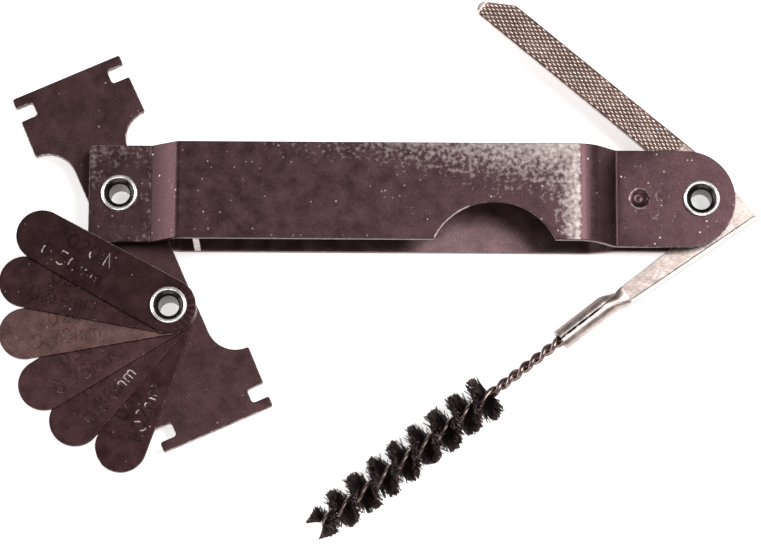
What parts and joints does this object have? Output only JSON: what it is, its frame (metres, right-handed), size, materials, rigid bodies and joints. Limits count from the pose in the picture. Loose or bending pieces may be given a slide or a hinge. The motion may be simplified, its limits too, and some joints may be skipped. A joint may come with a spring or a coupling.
{
  "type": "feeler gauge",
  "caption": "Pocket spark plug gauge: folding steel case with a slotted gap plate and a fan of feeler leaves at one end, a point file and a wire brush at the other.",
  "frame": {"origin": "middle of the case between its two pivots, on the flat outer face of the back plate, which the tool rests on", "axes": "+X along the case from the gauge pivot to the tool pivot, +Y across the case on the file's side, +Z out of the front plate along both pivots"},
  "size_m": [0.1196, 0.0873, 0.0106],
  "materials": {
    "case_steel": "burnished dark",
    "gauge_steel": "burnished dark",
    "leaf_steel": "blued spring steel",
    "eyelet_nickel": "bright nickel plate",
    "washer_steel": "plain steel",
    "file_steel": "cross-cut teeth",
    "holder_steel": "bright rolled sheet",
    "stem_wire": "drawn wire",
    "bristle_wire": "stiff dark bristle"
  },
  "bodies": {
    "case": {"front_plate": "case_steel", "back_plate": "case_steel", "gauge_pivot_eyelet": "eyelet_nickel", "tool_pivot_eyelet": "eyelet_nickel", "friction_washer": "washer_steel", "gauge_collar": "washer_steel", "disc_spring": "washer_steel", "tool_spacer": "washer_steel"},
    "gauge": {"gap_plate": "gauge_steel", "leaf_pivot_eyelet": "eyelet_nickel", "leaf_pack_washer": "washer_steel"},
    "leaf_1": {"leaf_0_50mm": "leaf_steel"},
    "leaf_2": {"leaf_0_62mm": "leaf_steel"},
    "leaf_3": {"leaf_0_70mm": "leaf_steel"},
    "leaf_4": {"leaf_0_75mm": "leaf_steel"},
    "leaf_5": {"leaf_0_88mm": "leaf_steel"},
    "leaf_6": {"leaf_1_02mm": "leaf_steel"},
    "file": {"point_file": "file_steel"},
    "brush": {"brush_holder": "holder_steel", "stem_wire_a": "stem_wire", "stem_wire_b": "stem_wire", "bristles": "bristle_wire"}
  },
  "joints": [
    {"name": "gauge_swing", "type": "hinge", "parent": "case", "child": "gauge", "pos_m": [-0.0459, 0, 0.0035], "axis": [0, 0, 1], "range_deg": [-101, 12]},
    {"name": "leaf_1_swing", "type": "hinge", "parent": "gauge", "child": "leaf_1", "pos_m": [-0.03773, -0.01836, 0.00897], "axis": [0, 0, 1], "range_deg": [-15, 142]},
    {"name": "leaf_2_swing", "type": "hinge", "parent": "gauge", "child": "leaf_2", "pos_m": [-0.03773, -0.01836, 0.00835], "axis": [0, 0, 1], "range_deg": [-30, 122]},
    {"name": "leaf_3_swing", "type": "hinge", "parent": "gauge", "child": "leaf_3", "pos_m": [-0.03773, -0.01836, 0.00762], "axis": [0, 0, 1], "range_deg": [-31, 102]},
    {"name": "leaf_4_swing", "type": "hinge", "parent": "gauge", "child": "leaf_4", "pos_m": [-0.03773, -0.01836, 0.00684], "axis": [0, 0, 1], "range_deg": [-52, 80]},
    {"name": "leaf_5_swing", "type": "hinge", "parent": "gauge", "child": "leaf_5", "pos_m": [-0.03773, -0.01836, 0.00596], "axis": [0, 0, 1], "range_deg": [-71, 62]},
    {"name": "leaf_6_swing", "type": "hinge", "parent": "gauge", "child": "leaf_6", "pos_m": [-0.03773, -0.01836, 0.00496], "axis": [0, 0, 1], "range_deg": [-91, 41]},
    {"name": "file_swing", "type": "hinge", "parent": "case", "child": "file", "pos_m": [0.0459, 0, 0.0047], "axis": [0, 0, 1], "range_deg": [-50, 40.1]},
    {"name": "brush_swing", "type": "hinge", "parent": "case", "child": "brush", "pos_m": [0.0459, 0, 0.00275], "axis": [0, 0, -1], "range_deg": [-65, 38.2], "deforming": ["bristles"]}
  ]
}
